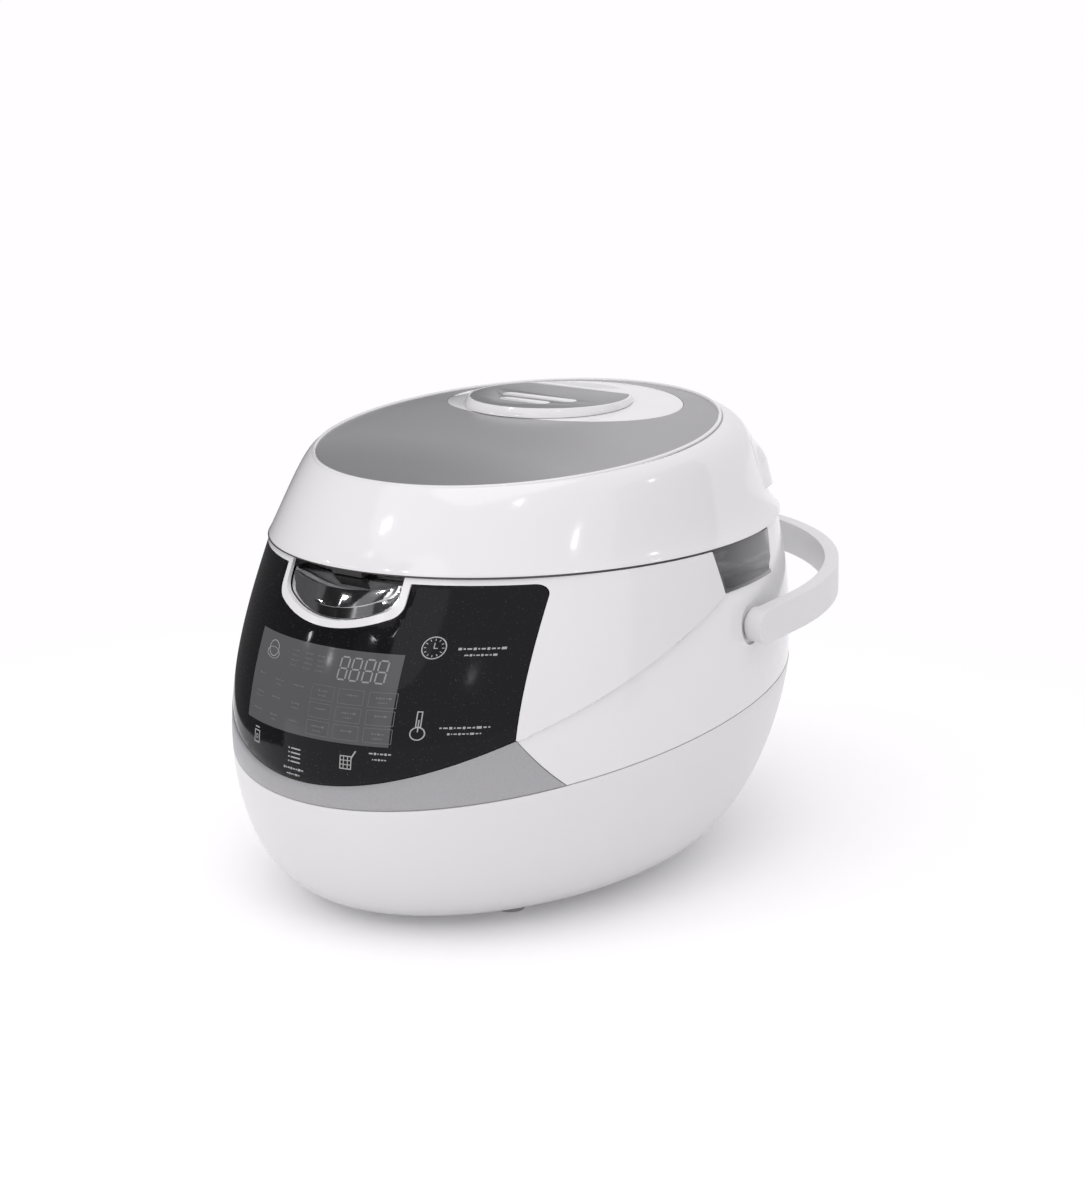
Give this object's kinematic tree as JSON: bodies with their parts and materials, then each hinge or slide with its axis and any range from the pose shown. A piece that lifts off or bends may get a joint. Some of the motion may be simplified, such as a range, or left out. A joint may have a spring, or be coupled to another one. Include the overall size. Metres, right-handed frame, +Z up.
{
  "type": "rice cooker",
  "caption": "Oval table-top multicooker with a hinged lid, a lid button, a touch panel, a steam valve cap and a folding carry handle.",
  "frame": {"origin": "on the table, under the middle of the whole object with its handle folded back", "axes": "+Z up, -Y towards the front with the panel and the lid button, +X to the right of someone who faces the front"},
  "size_m": [0.293, 0.4039, 0.2596],
  "materials": {
    "white_gloss": "glossy",
    "white_satin": "satin",
    "handle_white": "satin",
    "cover_grey": "satin",
    "panel_black": "glossy",
    "silver_trim": "satin silver paint",
    "trough_grey": "glossy",
    "chrome": "polished",
    "steel": "plain",
    "aluminium": "cast",
    "pot_coating": "non-stick coating",
    "rubber_grey": "matt",
    "silicone": "matt",
    "board_green": "lacquered board",
    "black_plastic": "matt",
    "white_plastic": "matt",
    "brass": "plain"
  },
  "bodies": {
    "base": {"base_shell": "white_satin", "upper_body_shell": "white_gloss", "front_trim": "silver_trim", "control_panel": "panel_black", "top_deck": "white_plastic", "condensate_trough_right": "trough_grey", "condensate_trough_left": "trough_grey", "button_spring": "steel", "hinge_pin": "steel", "hinge_spring": "steel", "inner_pot": "pot_coating", "inner_jacket": "aluminium", "heating_plate": "aluminium", "heating_element": "steel", "plate_spacers": "steel", "thermostat_housing": "steel", "thermostat_spring": "steel", "control_board": "board_green", "display_module": "black_plastic", "control_board_frame": "white_plastic", "power_board": "board_green", "power_board_parts": "black_plastic", "power_inlet": "black_plastic", "inlet_pins": "brass", "feet": "rubber_grey", "base_screws": "steel"},
    "lid": {"lid_outer_shell": "white_gloss", "lid_top_cover": "cover_grey", "steam_vent_ring": "white_gloss", "hinge_cover": "white_gloss", "steam_valve_body": "white_plastic", "steam_valve_gasket": "silicone", "lid_inner_shell": "white_plastic", "inner_lid_plate": "aluminium", "inner_lid_gasket": "silicone", "inner_lid_clip": "silicone", "lid_catch": "black_plastic", "lid_screws": "steel", "lid_hinge_arm": "white_plastic"},
    "steam_cap": {"steam_valve_cap": "white_gloss", "steam_cap_inlay": "cover_grey"},
    "carry_handle": {"carry_handle": "handle_white", "handle_washers": "steel", "handle_screws": "steel"},
    "release_button": {"release_button": "chrome", "latch_slider": "white_plastic"},
    "thermostat_sensor": {"thermostat_sensor": "aluminium"}
  },
  "joints": [
    {"name": "lid_hinge", "type": "hinge", "parent": "base", "child": "lid", "pos_m": [0, 0.16375, 0.198], "axis": [-1, 0, 0], "range_deg": [0, 85]},
    {"name": "handle_swing", "type": "hinge", "parent": "base", "child": "carry_handle", "pos_m": [0, 0.01375, 0.1465], "axis": [1, 0, 0], "range_deg": [0, 92]},
    {"name": "button_push", "type": "slide", "parent": "base", "child": "release_button", "axis": [0, 1, 0], "range_m": [0, 0.003], "deforming": ["button_spring"]},
    {"name": "steam_cap_lift", "type": "slide", "parent": "lid", "child": "steam_cap", "axis": [0, 0, 1], "range_m": [0, 0.03]},
    {"name": "sensor_press", "type": "slide", "parent": "base", "child": "thermostat_sensor", "axis": [0, 0, 1], "range_m": [-0.003, 0], "deforming": ["thermostat_spring"]}
  ]
}
